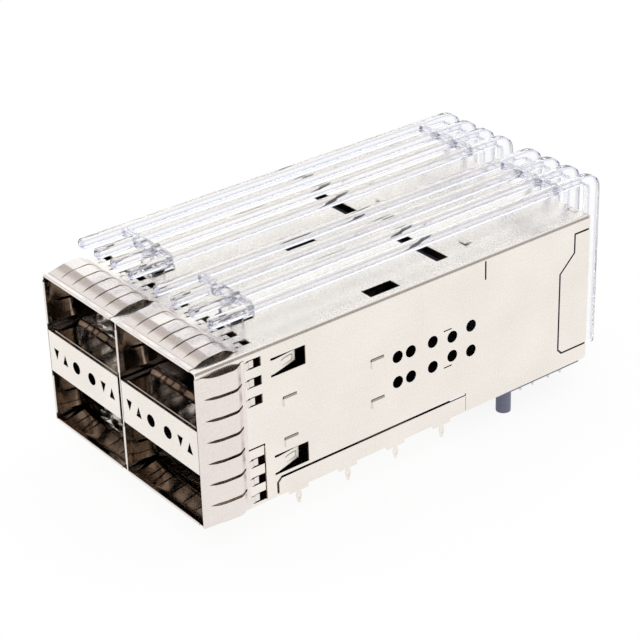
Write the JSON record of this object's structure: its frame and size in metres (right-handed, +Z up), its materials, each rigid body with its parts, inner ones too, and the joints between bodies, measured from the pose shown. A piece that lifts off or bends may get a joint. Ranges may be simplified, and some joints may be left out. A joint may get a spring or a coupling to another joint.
{
  "type": "stacked transceiver cage",
  "caption": "Stacked sheet-metal cage with spring-fingered ports, card connectors at the rear and clear light pipes, pressed into a circuit board to hold pluggable transceiver modules.",
  "frame": {"origin": "on the board plane, midway between the axes of the two locating posts", "axes": "+X across the two columns of ports, +Y from the port openings to the rear, +Z up from the circuit board"},
  "size_m": [0.0412, 0.0794, 0.0348],
  "materials": {
    "cage_plate": "satin nickel plate on folded sheet",
    "spring_plate": "bright nickel plate on spring sheet",
    "clear_pipe": "clear moulded polycarbonate",
    "housing_resin": "dark moulded resin",
    "carrier_resin": "dark moulded resin",
    "contact_metal": "plated copper alloy"
  },
  "bodies": {
    "root": {"base_plate": "cage_plate", "cage_shell": "cage_plate", "center_wall": "cage_plate", "connector_housing_left": "housing_resin", "connector_housing_right": "housing_resin", "contact_carriers_left": "carrier_resin", "contact_carriers_right": "carrier_resin", "contact_tails_left": "contact_metal", "contact_tails_right": "contact_metal", "light_pipe_left": "clear_pipe", "light_pipe_right": "clear_pipe", "rear_cover": "cage_plate", "separator_left": "cage_plate", "separator_right": "cage_plate", "spring_bottom_left": "spring_plate", "spring_bottom_right": "spring_plate", "spring_center_lower": "spring_plate", "spring_center_upper": "spring_plate", "spring_floor_left": "spring_plate", "spring_floor_right": "spring_plate", "spring_roof_left": "spring_plate", "spring_roof_right": "spring_plate", "spring_side_left": "spring_plate", "spring_side_right": "spring_plate", "spring_top_left": "spring_plate", "spring_top_right": "spring_plate"}
  },
  "joints": []
}
